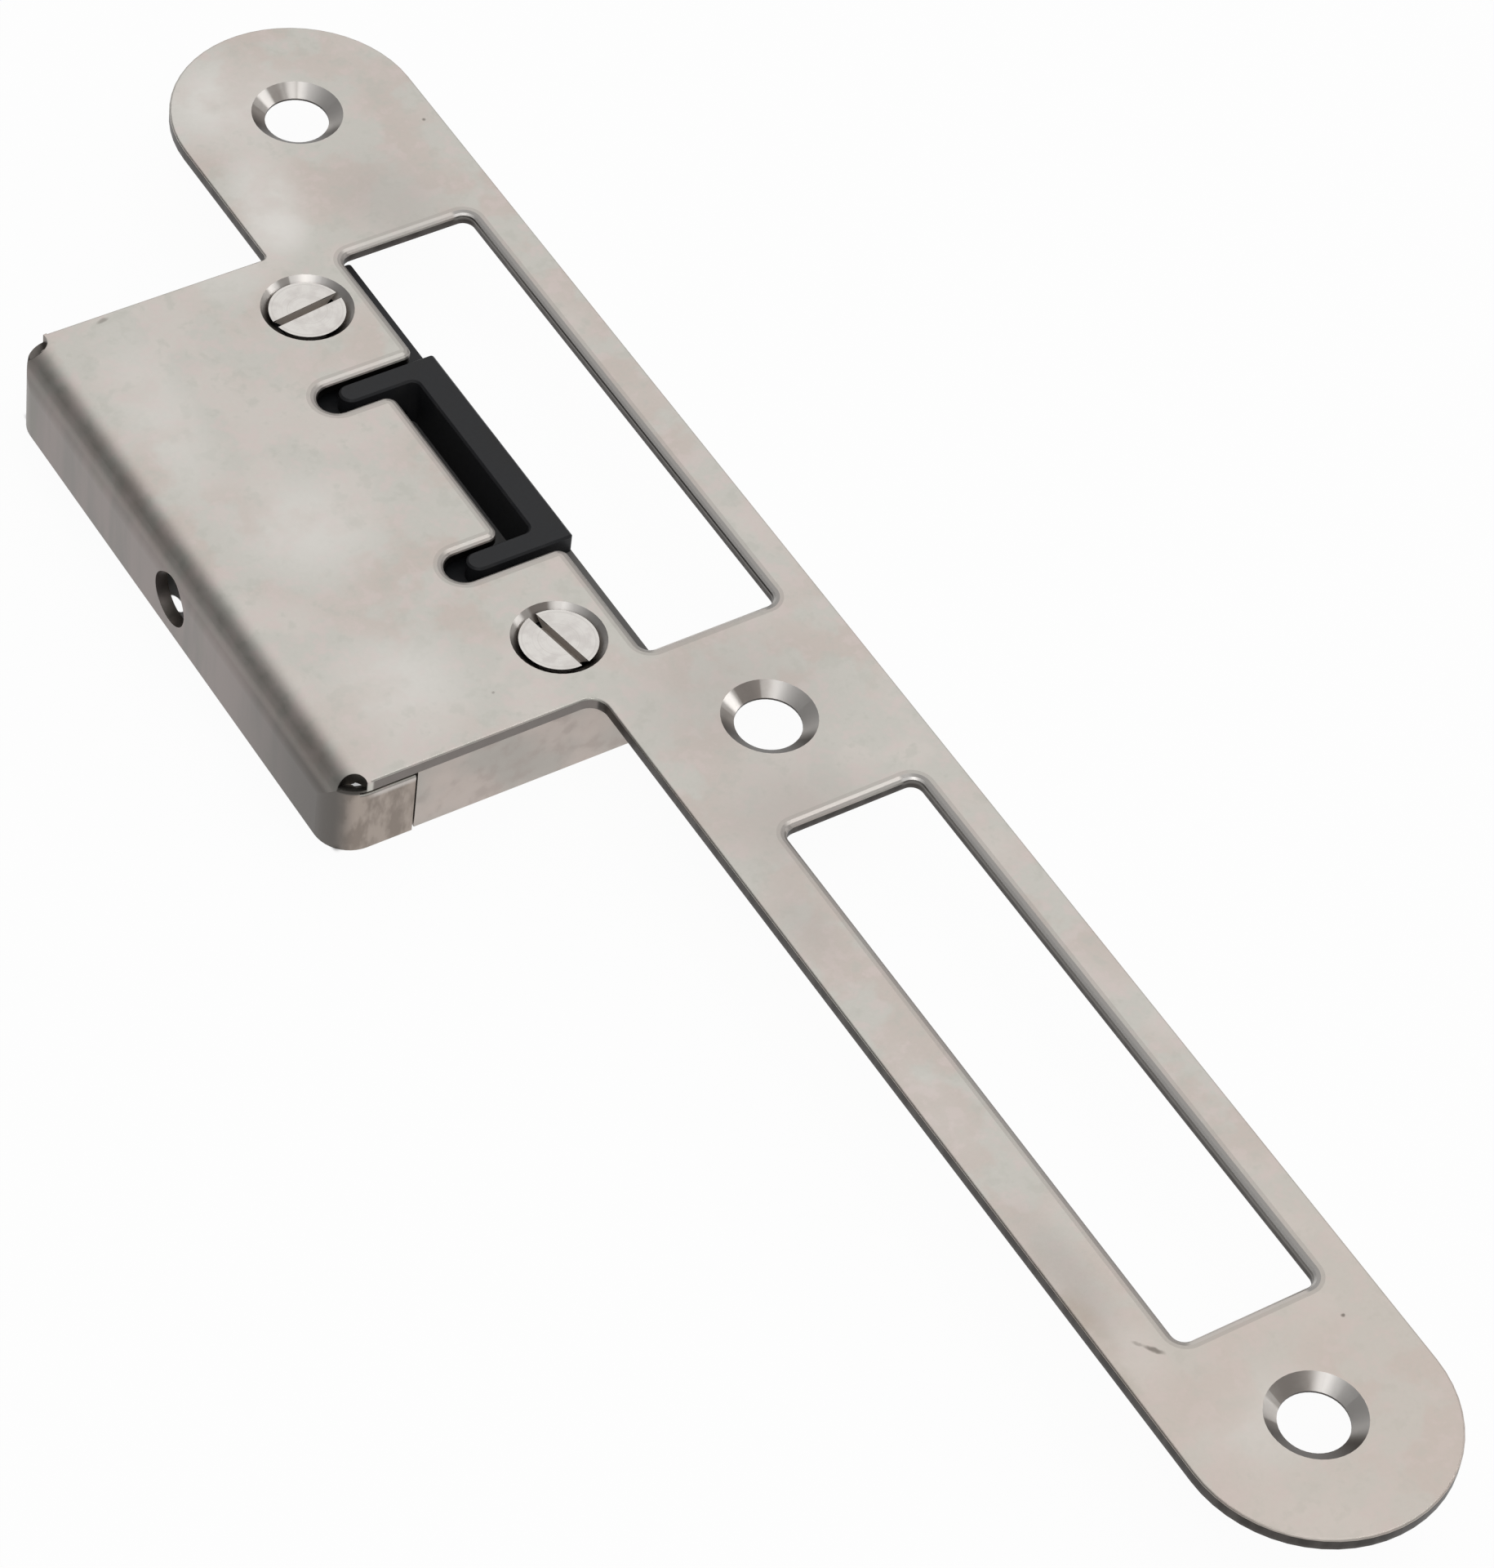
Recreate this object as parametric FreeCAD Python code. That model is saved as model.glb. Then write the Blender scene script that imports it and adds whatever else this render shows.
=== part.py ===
import FreeCAD, Part
import math
import os

# Door strike plate with a side lip, an adjustable plastic keeper and its backing box.
# Millimetres, +Z out of the visible face. The origin is on the back face of the strip,
# at the middle of its length and width. +Y runs along the strip, and the lip points to -X.

# Sheet
sheet_t = 1.25
strip_length = 200.0
strip_width = 25.0
outer_edge_round = 0.25

# Rolled edge that the punch leaves round the openings, wider than it is deep
roll_reach = 1.0
roll_depth = 0.45
roll_steps = 4
roll_least_r = 0.1

# Fixing holes in the strip, two in its ends and one between the openings
fixing_hole_inset = 12.5
middle_hole_y = -1.0
fixing_hole_d = 6.3
fixing_sink_d = 9.0
fixing_sink_angle = 105.0

# Openings for the latch and for the deadbolt
opening_width = 14.35
opening_centre_x = 1.1
latch_y = 39.5
latch_opening_length = 57.2
bolt_y = -44.6
bolt_opening_length = 63.2
opening_corner_r = 1.2

# Slots and tongue beside the latch opening
slot_pitch = 24.1
slot_width = 3.7
slot_reach = 11.3
tongue_setback = 4.5
tongue_corner_r = 1.15
slot_mouth_r = 1.1

# Lip with its bent flange, which reaches past both ends of the latch opening
lip_reach = 26.9
lip_overhang = 2.7
bend_outer_r = 3.4
flange_corner_r = 3.5
flange_depth = 9.0
tab_length = 8.1
tab_gap = 0.42
tab_slit_overcut = 0.3
tab_edge_round = 0.25
relief_d = 2.7
relief_inset_x = 1.75
relief_inset_y = 0.45
relief_depth = 1.0
relief_fall = 0.5
lip_upper_fillet = 0.5
lip_lower_fillet = 1.75
side_hole_d = 5.5
side_hole_below_face = 4.9

# Clamp screws, set in from the edge of the opening and from the ends of the lip
screw_d = 4.0
screw_head_d = 7.4
screw_head_below_face = 0.3
screw_length = 8.0
screw_setback = 6.15
screw_end_inset = 7.6
screw_sink_d = 9.0
screw_sink_angle = 90.0
screw_sink_land = 0.1
drive_slot_width = 0.85
drive_slot_depth = 1.0
drive_slot_angles = (-79.0, 7.0)
screw_tip_chamfer = 0.4

# Backing box
box_wall = 1.5
box_base_t = 1.6
box_base_width = 17.5
box_inset = 0.12
box_tab_gap = 0.25
box_seat_gap = 0.1
box_boss_d = 6.6
box_boss_height = 1.0
box_edge_round = 0.25
tapped_clearance = 0.05

# Keeper
keeper_overlap = 1.8
keeper_width = 15.3
keeper_end_gap = 0.25
keeper_top_gap = 1.35
keeper_base_gap = 0.15
keeper_travel = 2.1
keeper_corner_r = 0.3
rim_below_face = 0.5
rim_bar_width = 3.1
rim_shift_y = 0.35
rim_inner_r = 0.8
rim_outer_r = 0.3
rim_edge_bevel = 0.2
arm_side_gap = 0.7
arm_end_gap = 0.4
pad_gap = 0.15
pad_width = 8.4
screw_slot_width = 4.6
head_slot_width = 6.2
head_slot_depth = 1.05
boss_slot_width = 7.2
boss_slot_gap = 0.25
finger_recess_depth = 3.2
finger_recess_width = 5.6
core_wall = 1.5
core_roof = 1.8
core_length = 7.5

# How far a cutting shape runs past what it cuts, and when two points or levels are one
spill = 1.0
same = 1e-5

# Levels and edges that follow from the sizes above
face_z = sheet_t
bottom_z = face_z - flange_depth
opening_left = opening_centre_x - opening_width / 2
opening_right = opening_centre_x + opening_width / 2
lip_length = latch_opening_length + 2 * lip_overhang
lip_low_y = latch_y - lip_length / 2
lip_high_y = latch_y + lip_length / 2
flange_x = -strip_width / 2 - lip_reach
bend_x = flange_x + bend_outer_r
tab_end_x = flange_x + tab_length
slot_end_x = opening_left - slot_reach
tongue_x = opening_left - tongue_setback
fixing_y = strip_length / 2 - fixing_hole_inset
fixing_ys = (fixing_y, middle_hole_y, -fixing_y)
screw_x = opening_left - screw_setback
screw_ys = (lip_low_y + screw_end_inset, lip_high_y - screw_end_inset)
screw_slope = math.tan(math.radians(screw_sink_angle / 2))
screw_back_d = screw_sink_d - 2 * (sheet_t - screw_sink_land) * screw_slope
base_top_z = bottom_z + box_base_t
box_low_y = lip_low_y + box_inset
box_high_y = lip_high_y - box_inset
keeper_low_y = box_low_y + box_wall + keeper_end_gap
keeper_high_y = box_high_y - box_wall - keeper_end_gap
keeper_right = opening_left + keeper_overlap
keeper_left = keeper_right - keeper_width
keeper_low_z = base_top_z + keeper_base_gap
keeper_high_z = -keeper_top_gap
rim_y = latch_y + rim_shift_y
bar_left = keeper_right - rim_bar_width
arm_width = slot_width - 2 * arm_side_gap
arm_end_x = slot_end_x + keeper_travel + arm_end_gap
arm_inner_y = slot_pitch / 2 - arm_width / 2
arm_outer_y = slot_pitch / 2 + arm_width / 2


def point(x, y, z=0.0):
    return FreeCAD.Vector(x, y, z)


def box(x0, x1, y0, y1, z0, z1):
    return Part.makeBox(x1 - x0, y1 - y0, z1 - z0, point(x0, y0, z0))


def cylinder(x, y, d, z0, z1):
    return Part.makeCylinder(d / 2, z1 - z0, point(x, y, z0))


def rounded_face(corners):
    """Flat face whose outline turns at each (x, y, radius) corner with an arc."""
    pts = [point(x, y) for x, y, r in corners]
    starts, mids, ends = [], [], []
    for i, (x, y, radius) in enumerate(corners):
        back = pts[i - 1] - pts[i]
        ahead = pts[(i + 1) % len(pts)] - pts[i]
        back.normalize()
        ahead.normalize()
        half = back.getAngle(ahead) / 2
        reach = radius / math.tan(half)
        bisector = back + ahead
        bisector.normalize()
        starts.append(pts[i] + back * reach)
        ends.append(pts[i] + ahead * reach)
        mids.append(pts[i] + bisector * (radius / math.sin(half) - radius))
    edges = []
    for i, (x, y, radius) in enumerate(corners):
        if radius > 0:
            edges.append(Part.Arc(starts[i], mids[i], ends[i]).toShape())
        following = starts[(i + 1) % len(corners)]
        if (following - ends[i]).Length > same:
            edges.append(Part.LineSegment(ends[i], following).toShape())
    return Part.Face(Part.Wire(Part.__sortEdges__(edges)))


def prism(corners, z0, z1):
    face = rounded_face(corners)
    face.translate(point(0, 0, z0))
    return face.extrude(point(0, 0, z1 - z0))


def rounded_block(x0, x1, y0, y1, r, z0, z1):
    """Block whose four upright edges have radius r."""
    return prism([(x0, y0, r), (x1, y0, r), (x1, y1, r), (x0, y1, r)], z0, z1)


def slotted(x0, x1, y, width, z0, z1):
    """Straight slot along X with round ends centred on x0 and x1."""
    r = width / 2
    return rounded_block(x0 - r, x1 + r, y - r, y + r, r, z0, z1)


def countersink(x, y, top_d, through_d, angle):
    """Through hole with a cone that opens to top_d at the visible face."""
    slope = math.tan(math.radians(angle / 2))
    depth = (top_d - through_d) / 2 / slope
    mouth_r = top_d / 2 + spill * slope
    cone = Part.makeCone(through_d / 2, mouth_r, depth + spill, point(x, y, face_z - depth))
    return cone.fuse(cylinder(x, y, through_d, -spill, face_z))


def on_level(shape, z):
    """True for an edge or a face that lies flat at height z."""
    bounds = shape.BoundBox
    return abs(bounds.ZMin - z) < same and abs(bounds.ZMax - z) < same


def edges_on_level(shape, z):
    return [edge for edge in shape.Edges if on_level(edge, z)]


def visible_face(flat):
    return [face for face in flat.Faces if on_level(face, face_z)][0]


def outline_edges(flat):
    """Visible edges of the outer outline, apart from the line where the bend starts."""
    outline = visible_face(flat).OuterWire.Edges
    return [edge for edge in outline if edge.CenterOfMass.x > bend_x + same]


def strip_outline():
    """Round-ended strip, with the lip as far as the start of its bend."""
    r = strip_width / 2
    y = strip_length / 2
    return [
        (-r, y, r),
        (-r, lip_high_y, lip_upper_fillet),
        (bend_x, lip_high_y, 0.0),
        (bend_x, lip_low_y, 0.0),
        (-r, lip_low_y, lip_lower_fillet),
        (-r, -y, r),
        (r, -y, r),
        (r, y, r),
    ]


def latch_outline(grow):
    """Latch opening joined with the two slots that leave the tongue between them."""
    left, right = opening_left - grow, opening_right + grow
    low = latch_y - latch_opening_length / 2 - grow
    high = latch_y + latch_opening_length / 2 + grow
    low_slot = latch_y - slot_pitch / 2
    high_slot = latch_y + slot_pitch / 2
    half = slot_width / 2 + grow
    slot_end = slot_end_x - grow
    tongue = tongue_x - grow
    corner = opening_corner_r + grow
    mouth = max(slot_mouth_r - grow, roll_least_r)
    tip = max(tongue_corner_r - grow, roll_least_r)
    return [
        (left, low, corner),
        (left, low_slot - half, mouth),
        (slot_end, low_slot - half, half),
        (slot_end, low_slot + half, half),
        (tongue, low_slot + half, tip),
        (tongue, high_slot - half, tip),
        (slot_end, high_slot - half, half),
        (slot_end, high_slot + half, half),
        (left, high_slot + half, mouth),
        (left, high, corner),
        (right, high, corner),
        (right, low, corner),
    ]


def bolt_outline(grow):
    left, right = opening_left - grow, opening_right + grow
    low = bolt_y - bolt_opening_length / 2 - grow
    high = bolt_y + bolt_opening_length / 2 + grow
    r = opening_corner_r + grow
    return [(left, low, r), (left, high, r), (right, high, r), (right, low, r)]


def rolled_cut(outline):
    """Through cut whose wall curves out to the visible face along a quarter of an ellipse."""
    sections = []
    for step in range(roll_steps + 1):
        turn = math.pi / 2 * step / roll_steps
        wire = rounded_face(outline(roll_reach * (1 - math.sin(turn)))).OuterWire
        wire.translate(point(0, 0, face_z - roll_depth * (1 - math.cos(turn))))
        sections.append(wire)
    cutter = prism(outline(0), -spill, face_z - roll_depth)
    for upper, lower in zip(sections, sections[1:]):
        cutter = cutter.fuse(Part.makeLoft([lower, upper], True, True))
    return cutter


def lip_shell_form(inset):
    """Closed form of the bent end of the lip, moved in from its outer skin by inset."""
    x = flange_x + inset
    low = lip_low_y + inset
    high = lip_high_y - inset
    top = face_z - inset
    r = flange_corner_r - inset
    plan = [(x, low, r), (tab_end_x, low, 0.0), (tab_end_x, high, 0.0), (x, high, r)]
    bend = bend_outer_r - inset
    side = [(x, bottom_z, 0.0), (tab_end_x, bottom_z, 0.0), (tab_end_x, top, 0.0), (x, top, bend)]
    profile = rounded_face(side)
    profile.rotate(point(0, 0, 0), point(1, 0, 0), 90)
    profile.translate(point(0, lip_high_y + spill, 0))
    sweep = profile.extrude(point(0, -lip_length - 2 * spill, 0))
    return prism(plan, bottom_z, top).common(sweep)


def bent_flange():
    """Flange and its two wrapped tabs, up to where the flat of the lip takes over."""
    shell = lip_shell_form(0.0).cut(lip_shell_form(sheet_t))
    shell = shell.cut(box(bend_x, 0, lip_low_y - spill, lip_high_y + spill, 0, face_z + spill))
    hole_start = point(flange_x - spill, latch_y, face_z - side_hole_below_face)
    hole = Part.makeCylinder(side_hole_d / 2, sheet_t + 2 * spill, hole_start, point(1, 0, 0))
    return shell.cut(hole)


def corner_reliefs():
    """Notches at both ends of the bend, and the slits that free the tabs from the lip."""
    cuts = []
    x = flange_x + relief_inset_x
    rim_slope = sheet_t / relief_fall
    low_z = face_z - relief_depth - flange_corner_r / rim_slope
    high_z = face_z + spill
    for edge_y, inward in ((lip_low_y, 1), (lip_high_y, -1)):
        corner = point(flange_x + flange_corner_r, edge_y + inward * flange_corner_r, low_z)
        above_rim = Part.makeCone(0, (high_z - low_z) * rim_slope, high_z - low_z, corner)
        notch = cylinder(x, edge_y + inward * relief_inset_y, relief_d, low_z, high_z)
        cuts.append(notch.common(above_rim))
        outside = edge_y - inward * spill
        inside = edge_y + inward * (sheet_t + tab_slit_overcut)
        low, high = min(outside, inside), max(outside, inside)
        cuts.append(box(x + relief_d / 4, tab_end_x + spill, low, high, -tab_gap, 0))
    return cuts


def tab_top_edges(plate):
    """Outer edges along the tops of the two wrapped tabs."""
    level = edges_on_level(plate, -tab_gap)
    return [edge for edge in level if edge.BoundBox.YLength < same and (
        abs(edge.CenterOfMass.y - lip_low_y) < same or abs(edge.CenterOfMass.y - lip_high_y) < same)]


def strike_plate():
    flat = prism(strip_outline(), 0, face_z)
    flat = flat.makeFillet(outer_edge_round, outline_edges(flat))
    flat = flat.cut(rolled_cut(latch_outline))
    flat = flat.cut(rolled_cut(bolt_outline))
    plate = flat.fuse(bent_flange())
    for relief in corner_reliefs():
        plate = plate.cut(relief)
    plate = plate.makeFillet(tab_edge_round, tab_top_edges(plate))
    for y in fixing_ys:
        plate = plate.cut(countersink(0, y, fixing_sink_d, fixing_hole_d, fixing_sink_angle))
    for y in screw_ys:
        plate = plate.cut(countersink(screw_x, y, screw_sink_d, screw_back_d, screw_sink_angle))
    return plate


def clamp_screw(y, angle):
    top = face_z - screw_head_below_face
    tip = top - screw_length
    neck = top - (screw_head_d - screw_d) / 2 / screw_slope
    head = Part.makeCone(screw_d / 2, screw_head_d / 2, top - neck, point(screw_x, y, neck))
    shank = cylinder(screw_x, y, screw_d, tip, neck)
    shank = shank.makeChamfer(screw_tip_chamfer, edges_on_level(shank, tip))
    screw = head.fuse(shank).removeSplitter()
    half = drive_slot_width / 2
    drive = box(-screw_head_d, screw_head_d, -half, half, top - drive_slot_depth, top + spill)
    drive.rotate(point(0, 0, 0), point(0, 0, 1), angle)
    drive.translate(point(screw_x, y, 0))
    return screw.cut(drive)


def clamp_screws():
    return Part.makeCompound([clamp_screw(y, angle) for y, angle in zip(screw_ys, drive_slot_angles)])


def backing_box():
    """Open-sided box that holds the keeper and takes the ends of the clamp screws."""
    left = tab_end_x + box_tab_gap
    top = -box_seat_gap
    base_left = opening_left - box_base_width
    body = box(base_left, opening_left, box_low_y, box_high_y, bottom_z, base_top_z)
    for y in (box_low_y, box_high_y - box_wall):
        body = body.fuse(box(left, opening_left, y, y + box_wall, bottom_z, top))
    for y in screw_ys:
        body = body.fuse(cylinder(screw_x, y, box_boss_d, base_top_z, base_top_z + box_boss_height))
    body = body.removeSplitter()
    body = body.makeFillet(box_edge_round, edges_on_level(body, bottom_z))
    for y in screw_ys:
        bore_d = screw_d + 2 * tapped_clearance
        body = body.cut(cylinder(screw_x, y, bore_d, bottom_z - spill, 0))
    return body


def keeper_rim():
    """Raised rim of the keeper: two arms joined by the bar that the latch pulls against."""
    half = arm_width / 2
    outline = [
        (keeper_right, rim_y - arm_outer_y, rim_outer_r),
        (keeper_right, rim_y + arm_outer_y, rim_outer_r),
        (arm_end_x, rim_y + arm_outer_y, half),
        (arm_end_x, rim_y + arm_inner_y, half),
        (bar_left, rim_y + arm_inner_y, rim_inner_r),
        (bar_left, rim_y - arm_inner_y, rim_inner_r),
        (arm_end_x, rim_y - arm_inner_y, half),
        (arm_end_x, rim_y - arm_outer_y, half),
    ]
    top = face_z - rim_below_face
    rim = prism(outline, keeper_high_z, top)
    return rim.makeChamfer(rim_edge_bevel, edges_on_level(rim, top))


def along_travel(y, width, z0, z1):
    """Slot round a clamp screw, long enough for the keeper's travel."""
    return slotted(screw_x, screw_x + keeper_travel, y, width, z0, z1)


def keeper():
    r = keeper_corner_r
    low, high = keeper_low_y, keeper_high_y
    body = rounded_block(keeper_left, keeper_right, low, high, r, keeper_low_z, keeper_high_z)
    body = body.fuse(keeper_rim())
    for y in screw_ys:
        body = body.fuse(along_travel(y, pad_width, keeper_high_z, -pad_gap))
    recess_left = bar_left - finger_recess_width
    recess_z = keeper_high_z - finger_recess_depth
    low, high = rim_y - arm_inner_y, rim_y + arm_inner_y
    recess = rounded_block(recess_left, bar_left, low, high, rim_inner_r, recess_z, keeper_high_z)
    body = body.cut(recess)
    core_left, core_right = keeper_left + core_wall, keeper_right - core_wall
    core_top = keeper_high_z - core_roof
    for y in (low - core_length, high):
        body = body.cut(box(core_left, core_right, y, y + core_length, keeper_low_z, core_top))
    boss_top = base_top_z + box_boss_height + boss_slot_gap
    for y in screw_ys:
        body = body.cut(along_travel(y, screw_slot_width, keeper_low_z - spill, 0))
        body = body.cut(along_travel(y, head_slot_width, -pad_gap - head_slot_depth, 0))
        body = body.cut(along_travel(y, boss_slot_width, keeper_low_z - spill, boss_top))
    return body.removeSplitter()


def save(name, shape):
    shape.exportStep(os.path.join("parts", name + ".step"))
    volumes = [round(solid.Volume, 1) for solid in shape.Solids]
    print(name, "valid", shape.isValid(), "volumes", volumes)


os.makedirs("parts", exist_ok=True)
save("strike_plate", strike_plate())
save("backing_box", backing_box())
save("keeper", keeper())
save("clamp_screws", clamp_screws())
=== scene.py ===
import math
from types import SimpleNamespace

import bpy
from mathutils import Matrix, Vector

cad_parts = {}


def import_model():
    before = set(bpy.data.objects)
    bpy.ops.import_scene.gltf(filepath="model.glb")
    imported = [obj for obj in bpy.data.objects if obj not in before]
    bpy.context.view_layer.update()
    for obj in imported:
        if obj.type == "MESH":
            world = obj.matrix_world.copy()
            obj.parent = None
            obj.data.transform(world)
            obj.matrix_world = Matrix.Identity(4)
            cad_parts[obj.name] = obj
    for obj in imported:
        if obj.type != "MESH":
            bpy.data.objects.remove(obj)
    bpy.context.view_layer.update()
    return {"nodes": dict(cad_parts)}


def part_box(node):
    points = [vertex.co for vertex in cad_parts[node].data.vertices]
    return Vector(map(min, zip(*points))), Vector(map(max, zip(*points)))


# Looks of a door strike plate: satin steel sheet, black plastic keeper, grey backing box.
# Metres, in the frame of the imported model: +Z out of the visible face, +Y along the strip.
# Places and limits on the part are in millimetres, and heights count from the face.

MM = 0.001

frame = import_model()
plate_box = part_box("strike_plate")
floor_z = plate_box[0][2]
face_z = plate_box[1][2]

# Camera, placed by fitting the photo's edges to the real sizes
CAMERA_PLACE = (-0.226575, -0.289497, 0.402933)
CAMERA_RIGHT = (0.84801, -0.52058, 0.09935)
CAMERA_UP = (0.33635, 0.67352, 0.65821)
CAMERA_LENS = 138.48
CAMERA_SENSOR = 36.0
CAMERA_NEAREST = 0.01

# Lamps: name, place, size and brightness
LAMPS = (
    ("key", (0.55, 0.75, 1.0), (1.5, 1.5), 0.30),
    ("front", (-0.35, -0.65, 1.0), (0.55, 0.55), 1.6),
    ("top", (0.38, -0.12, 1.1), (0.28, 0.28), 2.4),
    ("side", (0.95, -0.25, 0.5), (0.25, 0.25), 3.0),
)

# Places on the part, along X and Y
BEND_X = -36.0
STRIP_EDGE_X = -12.5
SINK_RADIUS = 4.5
SCREWS = ((-12.225, 63.2), (-12.225, 15.8))
SCREW_HEAD_BELOW = 0.3
RELIEFS = ((-37.65, 70.35), (-37.65, 8.65))
RELIEF_RADIUS = 1.35
KEEPER_RIM_Y = 39.6
KEEPER_RIM_HALF = 11.6
# The openings with their rolled edges: limits along X, and along Y
LATCH_EDGE = ((-18.6, 9.6), (9.8, 69.2))
BOLT_EDGE = ((-7.4, 9.6), (-77.4, -11.6))


def feed(tree, socket, value):
    """Gives a socket a plain value or another node's output."""
    if isinstance(value, bpy.types.NodeSocket):
        tree.links.new(value, socket)
    else:
        socket.default_value = value


def add(tree, kind, inputs=None, **settings):
    """Adds a shader node. An input is a plain value or another node's output."""
    made = tree.nodes.new(kind)
    for name, value in settings.items():
        setattr(made, name, value)
    for name, value in (inputs or {}).items():
        feed(tree, made.inputs[name], value)
    return made


def calc(tree, operation, first, second=0.0):
    return add(tree, "ShaderNodeMath", {0: first, 1: second}, operation=operation).outputs[0]


def ramp(tree, value, limits, start, end):
    """Smooth step of a value, from start at the first limit to end at the second."""
    made = add(
        tree,
        "ShaderNodeMapRange",
        {
            "Value": value,
            "From Min": limits[0],
            "From Max": limits[1],
            "To Min": start,
            "To Max": end,
        },
        interpolation_type="SMOOTHSTEP",
    )
    return made.outputs[0]


def rise(tree, value, limits, top=1.0):
    """Mask that is 0 before the limits and top past them."""
    return ramp(tree, value, limits, 0.0, top)


def fall(tree, value, limits, top=1.0):
    """Mask that is top before the limits and 0 past them."""
    return ramp(tree, value, limits, top, 0.0)


def within(tree, value, low, high, soft=0.2):
    """Mask of a value between two limits."""
    return both(tree, rise(tree, value, (low - soft, low)), fall(tree, value, (high, high + soft)))


def both(tree, *masks):
    """Product of several masks."""
    made = masks[0]
    for mask in masks[1:]:
        made = calc(tree, "MULTIPLY", made, mask)
    return made


def highest(tree, masks):
    """The largest of several masks at each point."""
    top = masks[0]
    for mask in masks[1:]:
        top = calc(tree, "MAXIMUM", top, mask)
    return top


def mix(tree, factor, first, second):
    made = add(tree, "ShaderNodeMix", {0: factor, 6: first, 7: second}, data_type="RGBA")
    return made.outputs[2]


def mix_value(tree, factor, first, second):
    made = add(tree, "ShaderNodeMix", {0: factor, 2: first, 3: second}, data_type="FLOAT")
    return made.outputs[0]


def lay(tree, tint, mask, strength, over):
    """Lays a colour over a tint where a mask is, as strongly as told."""
    return mix(tree, both(tree, mask, strength), tint, over)


def layered(tree, tint, layers):
    """Lays colours over a tint. A layer is a value, its two limits, the strengths at the
    limits, and the colour."""
    for value, limits, strengths, over in layers:
        tint = mix(tree, ramp(tree, value, limits, *strengths), tint, over)
    return tint


def colour(red, green, blue):
    """An opaque colour, with its red, green and blue in linear light."""
    return (red, green, blue, 1.0)


def noise(tree, place, scale, detail=2.0, roughness=0.5):
    """Noise between 0 and 1. The scale is one number, or one for each axis."""
    if isinstance(scale, tuple):
        place = add(tree, "ShaderNodeMapping", {"Vector": place, "Scale": scale}).outputs[0]
        scale = 1.0
    made = add(
        tree,
        "ShaderNodeTexNoise",
        {"Vector": place, "Scale": scale, "Detail": detail, "Roughness": roughness},
    )
    return made.outputs[0]


def jittered(tree, place, scale, distance):
    """Place with a small random shift, which makes the border of a mark ragged."""
    made = add(tree, "ShaderNodeTexNoise", {"Vector": place, "Scale": scale, "Detail": 2.0})
    shift = vector(tree, "SUBTRACT", made.outputs["Color"], (0.5, 0.5, 0.5))
    shift = vector(tree, "MULTIPLY", shift, (distance * MM,) * 3)
    return vector(tree, "ADD", place, shift)


def vector(tree, operation, first, second):
    return add(tree, "ShaderNodeVectorMath", {0: first, 1: second}, operation=operation).outputs[0]


def bump(tree, height, distance, strength, normal=None):
    """Normal that follows a height, with the distance in millimetres."""
    inputs = {"Height": height, "Distance": distance * MM, "Strength": strength}
    if normal is not None:
        inputs["Normal"] = normal
    return add(tree, "ShaderNodeBump", inputs).outputs[0]


def shaded_point(tree):
    """The shaded point in its object's own frame: its place in metres, X, Y and Z in
    millimetres, the parts of its normal, and its level, 1 on the face and 0 on a wall."""
    made = add(tree, "ShaderNodeTexCoord")
    place = made.outputs["Object"]
    split = add(tree, "ShaderNodeSeparateXYZ", {0: place}).outputs
    normal = add(tree, "ShaderNodeSeparateXYZ", {0: made.outputs["Normal"]}).outputs
    return SimpleNamespace(
        place=place,
        x=calc(tree, "DIVIDE", split[0], MM),
        y=calc(tree, "DIVIDE", split[1], MM),
        z=calc(tree, "DIVIDE", calc(tree, "SUBTRACT", split[2], face_z), MM),
        normal=normal,
        level=calc(tree, "ABSOLUTE", normal[2]),
    )


def ring_distance(tree, at, centre):
    """Distance from an upright axis, and the two parts of that distance."""
    dx = calc(tree, "SUBTRACT", at.x, centre[0])
    dy = calc(tree, "SUBTRACT", at.y, centre[1])
    square = calc(tree, "ADD", calc(tree, "MULTIPLY", dx, dx), calc(tree, "MULTIPLY", dy, dy))
    return calc(tree, "SQRT", square), dx, dy


def patch(tree, place, centre, halves, turn, soft):
    """Mask of one oval mark: 1 within it, and 0 past it. Soft is the share of it that fades."""
    moved = add(
        tree,
        "ShaderNodeMapping",
        {
            "Vector": place,
            "Location": (centre[0] * MM, centre[1] * MM, 0.0),
            "Rotation": (0.0, 0.0, math.radians(turn)),
            "Scale": (halves[0] * MM, halves[1] * MM, 1.0),
        },
        vector_type="TEXTURE",
    )
    reach = add(tree, "ShaderNodeVectorMath", {0: moved.outputs[0]}, operation="LENGTH")
    return fall(tree, reach.outputs["Value"], (1.0 - soft, 1.0))


def principled(tree, tint, roughness, normal, others):
    inputs = {"Base Color": tint, "Roughness": roughness, "Normal": normal}
    return add(tree, "ShaderNodeBsdfPrincipled", {**inputs, **others}).outputs[0]


def material(name, shade):
    """New material, whose surface is what shade builds for the shaded point."""
    made = bpy.data.materials.new(name)
    made.use_nodes = True
    tree = made.node_tree
    tree.nodes.clear()
    surface = shade(tree, shaded_point(tree))
    add(tree, "ShaderNodeOutputMaterial", {"Surface": surface})
    return made


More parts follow.
